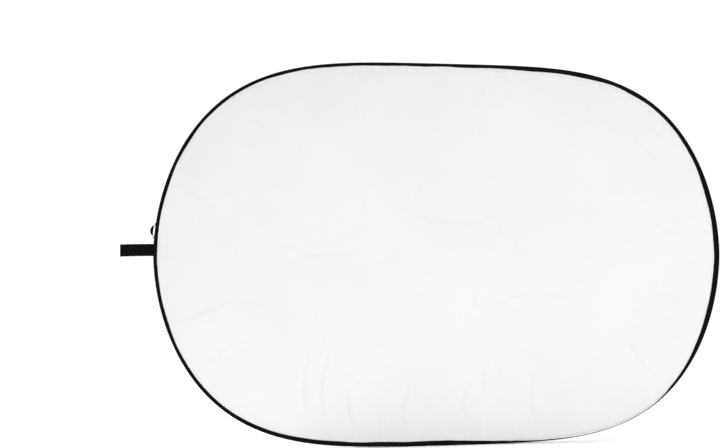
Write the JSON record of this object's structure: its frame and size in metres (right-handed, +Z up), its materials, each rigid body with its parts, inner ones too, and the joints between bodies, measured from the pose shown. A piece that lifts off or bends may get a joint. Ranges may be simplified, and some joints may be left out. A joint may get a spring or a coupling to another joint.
{
  "type": "collapsible reflector disc",
  "caption": "Large oval folding light reflector with a sprung hoop in a bound black edge, a white and a grey face, a closing strap and a hang loop.",
  "frame": {"origin": "bottom of the rim, in the middle of the disc's length and of its thickness", "axes": "+X along the disc's length, away from the strap; +Y through the disc, from the white face to the grey one; +Z up"},
  "size_m": [1.581, 0.0114, 0.99],
  "materials": {
    "binding_tape": "woven nylon binding tape, matte",
    "white_cloth": "smooth white nylon, satin",
    "grey_cloth": "smooth grey coated nylon, slight sheen",
    "spring_steel": "blued spring steel band",
    "seam_thread": "polyester thread",
    "ferrule_steel": "zinc plated",
    "shrink_tube": "matte",
    "webbing": "ribbed nylon webbing",
    "loop_pile": "brushed loop pile",
    "hook_tape": "moulded hooks on a woven back"
  },
  "bodies": {
    "left_end": {"binding_left_end": "binding_tape", "white_face_left_end": "white_cloth", "grey_face_left_end": "grey_cloth", "hoop_left_end": "spring_steel", "seam_thread_left_end": "seam_thread", "ferrule": "ferrule_steel", "ferrule_sleeve": "shrink_tube", "strap_anchor": "webbing", "anchor_bar_tack": "seam_thread", "hang_loop_feet": "binding_tape"},
    "left_3": {"binding_left_3": "binding_tape", "white_face_left_3": "white_cloth", "grey_face_left_3": "grey_cloth", "hoop_left_3": "spring_steel", "seam_thread_left_3": "seam_thread"},
    "left_2": {"binding_left_2": "binding_tape", "white_face_left_2": "white_cloth", "grey_face_left_2": "grey_cloth", "hoop_left_2": "spring_steel", "seam_thread_left_2": "seam_thread"},
    "left_1": {"binding_left_1": "binding_tape", "white_face_left_1": "white_cloth", "grey_face_left_1": "grey_cloth", "hoop_left_1": "spring_steel", "seam_thread_left_1": "seam_thread"},
    "middle": {"binding_middle": "binding_tape", "white_face_middle": "white_cloth", "grey_face_middle": "grey_cloth", "hoop_middle": "spring_steel", "seam_thread_middle": "seam_thread"},
    "right_1": {"binding_right_1": "binding_tape", "white_face_right_1": "white_cloth", "grey_face_right_1": "grey_cloth", "hoop_right_1": "spring_steel", "seam_thread_right_1": "seam_thread"},
    "right_2": {"binding_right_2": "binding_tape", "white_face_right_2": "white_cloth", "grey_face_right_2": "grey_cloth", "hoop_right_2": "spring_steel", "seam_thread_right_2": "seam_thread"},
    "right_3": {"binding_right_3": "binding_tape", "white_face_right_3": "white_cloth", "grey_face_right_3": "grey_cloth", "hoop_right_3": "spring_steel", "seam_thread_right_3": "seam_thread"},
    "right_end": {"binding_right_end": "binding_tape", "white_face_right_end": "white_cloth", "grey_face_right_end": "grey_cloth", "hoop_right_end": "spring_steel", "seam_thread_right_end": "seam_thread"},
    "strap": {"strap_web": "webbing", "loop_patch": "loop_pile", "loop_patch_stitching": "seam_thread"},
    "strap_tip": {"strap_tip": "webbing", "hook_patch": "hook_tape", "hook_patch_stitching": "seam_thread"},
    "hang_loop": {"hang_loop": "binding_tape"}
  },
  "joints": [
    {"name": "bend_right_1", "type": "hinge", "parent": "middle", "child": "right_1", "pos_m": [0.032, 0, 0.495], "axis": [0, 0, 1], "range_deg": [-26.5, 26.5], "stiffness_Nm_per_rad": 3},
    {"name": "bend_right_2", "type": "hinge", "parent": "right_1", "child": "right_2", "pos_m": [0.104, 0, 0.495], "axis": [0, 0, 1], "range_deg": [-26.5, 26.5], "stiffness_Nm_per_rad": 3},
    {"name": "bend_right_3", "type": "hinge", "parent": "right_2", "child": "right_3", "pos_m": [0.196, 0, 0.495], "axis": [0, 0, 1], "range_deg": [-26.5, 26.5], "stiffness_Nm_per_rad": 3},
    {"name": "bend_right_4", "type": "hinge", "parent": "right_3", "child": "right_end", "pos_m": [0.318, 0, 0.495], "axis": [0, 0, 1], "range_deg": [-26.5, 26.5], "stiffness_Nm_per_rad": 3},
    {"name": "bend_left_1", "type": "hinge", "parent": "middle", "child": "left_1", "pos_m": [-0.032, 0, 0.495], "axis": [0, 0, -1], "range_deg": [-26.5, 26.5], "stiffness_Nm_per_rad": 3},
    {"name": "bend_left_2", "type": "hinge", "parent": "left_1", "child": "left_2", "pos_m": [-0.104, 0, 0.495], "axis": [0, 0, -1], "range_deg": [-26.5, 26.5], "stiffness_Nm_per_rad": 3},
    {"name": "bend_left_3", "type": "hinge", "parent": "left_2", "child": "left_3", "pos_m": [-0.196, 0, 0.495], "axis": [0, 0, -1], "range_deg": [-26.5, 26.5], "stiffness_Nm_per_rad": 3},
    {"name": "bend_left_4", "type": "hinge", "parent": "left_3", "child": "left_end", "pos_m": [-0.318, 0, 0.495], "axis": [0, 0, -1], "range_deg": [-26.5, 26.5], "stiffness_Nm_per_rad": 3},
    {"name": "strap_flex", "type": "hinge", "parent": "left_end", "child": "strap", "pos_m": [-0.7529, 0, 0.505], "axis": [0, 0, -1], "range_deg": [-80, 80]},
    {"name": "strap_fold", "type": "hinge", "parent": "strap", "child": "strap_tip", "pos_m": [-0.79495, 0.0027, 0.505], "axis": [0, 0, -1], "range_deg": [0, 178]},
    {"name": "hang_loop_flex", "type": "hinge", "parent": "left_end", "child": "hang_loop", "pos_m": [-0.74816, 0, 0.5532], "axis": [0.1141, 0, 0.9935], "range_deg": [-45, 45], "stiffness_Nm_per_rad": 0.02}
  ],
  "couplings": [
    {"joint": "bend_right_2", "follows": "bend_right_1", "ratio": 1},
    {"joint": "bend_right_3", "follows": "bend_right_1", "ratio": 1},
    {"joint": "bend_right_4", "follows": "bend_right_1", "ratio": 1},
    {"joint": "bend_left_1", "follows": "bend_right_1", "ratio": 1},
    {"joint": "bend_left_2", "follows": "bend_right_1", "ratio": 1},
    {"joint": "bend_left_3", "follows": "bend_right_1", "ratio": 1},
    {"joint": "bend_left_4", "follows": "bend_right_1", "ratio": 1}
  ]
}
